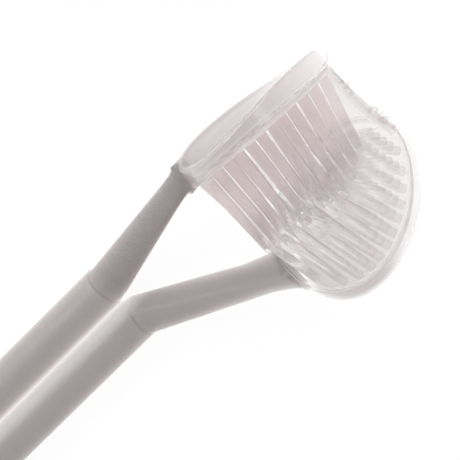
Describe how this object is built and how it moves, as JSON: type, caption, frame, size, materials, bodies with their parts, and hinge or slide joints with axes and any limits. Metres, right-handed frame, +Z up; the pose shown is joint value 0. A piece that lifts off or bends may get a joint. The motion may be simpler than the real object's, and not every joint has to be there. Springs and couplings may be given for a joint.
{
  "type": "three-sided toothbrush",
  "caption": "Toothbrush with a forked grip of round rods; its arms carry leaning bristle pads joined by a curved bristle wall, so it brushes three sides of a tooth.",
  "frame": {"origin": "on the surface that the brush lies on, under the middle of its box", "axes": "+X from the grip's tail towards the head, +Y across from one pad to the other, +Z up, to the open side of the head"},
  "size_m": [0.1789, 0.0252, 0.0283],
  "materials": {
    "grip_plastic": "satin warm grey moulded plastic",
    "clear_soft_plastic": "glossy translucent milky soft plastic with a faint mauve tint"
  },
  "bodies": {
    "root": {"handle": "grip_plastic", "bristle_head": "clear_soft_plastic"}
  },
  "joints": []
}
